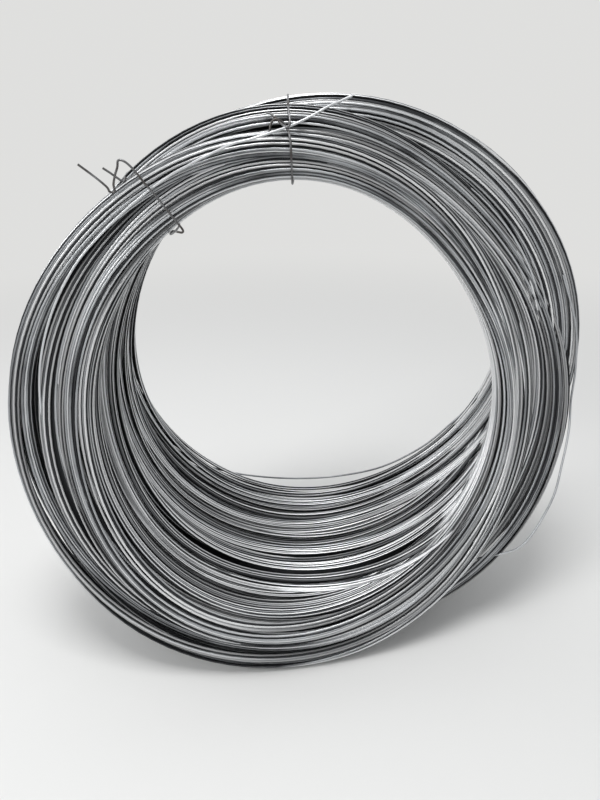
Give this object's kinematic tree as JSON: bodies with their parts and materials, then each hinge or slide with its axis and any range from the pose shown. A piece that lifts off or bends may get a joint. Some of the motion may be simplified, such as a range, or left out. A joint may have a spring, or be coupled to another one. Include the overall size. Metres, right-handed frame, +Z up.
{
  "type": "coil of steel wire",
  "caption": "Coil of grey steel wire standing on its rim, tied into a round bundle at the top and fanned out at the foot.",
  "frame": {"origin": "middle of the coil's footprint, on the floor it stands on", "axes": "+Z up, +Y along the bore towards the back of the coil, +X to the right seen from the front"},
  "size_m": [0.731, 0.3096, 0.6888],
  "materials": {
    "wire": "satin zinc grey, drawn",
    "tie_wire": "darker grey, dull"
  },
  "bodies": {
    "root": {"wire_coil": "wire", "tie_top": "tie_wire", "tie_left": "tie_wire"}
  },
  "joints": []
}
